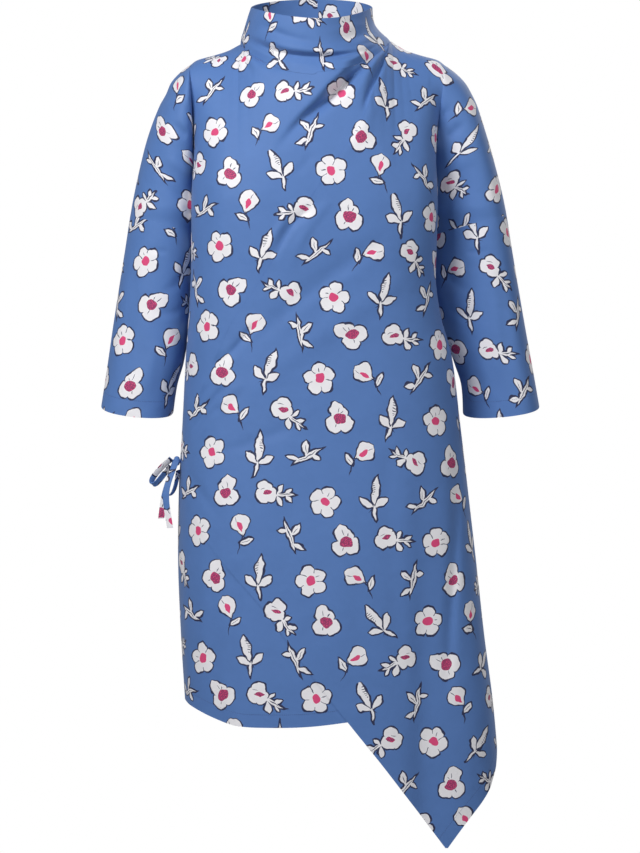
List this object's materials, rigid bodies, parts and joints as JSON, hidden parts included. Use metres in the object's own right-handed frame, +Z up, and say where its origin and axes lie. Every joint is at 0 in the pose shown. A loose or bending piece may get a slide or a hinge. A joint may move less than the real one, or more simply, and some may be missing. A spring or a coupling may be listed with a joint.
{
  "type": "wrap dress",
  "caption": "Wrap dress with a draped funnel neck, dropped shoulders, three-quarter sleeves, a hip tie and a long side point, filled out as if worn.",
  "frame": {"origin": "base of the neck, level with the shoulders that carry the dress", "axes": "+Z up, the front faces -Y and the wearer's left is +X"},
  "size_m": [0.5936, 0.2679, 1.143],
  "materials": {
    "printed_cloth": "matt plain-woven cloth with a printed flower pattern"
  },
  "bodies": {
    "root": {"front_outer": "printed_cloth", "front_under": "printed_cloth", "back": "printed_cloth", "collar": "printed_cloth", "sleeve_left": "printed_cloth", "sleeve_right": "printed_cloth", "tie_knot": "printed_cloth", "tie_loop_upper": "printed_cloth", "tie_loop_lower": "printed_cloth", "tie_end_long": "printed_cloth", "tie_end_short": "printed_cloth"}
  },
  "joints": []
}
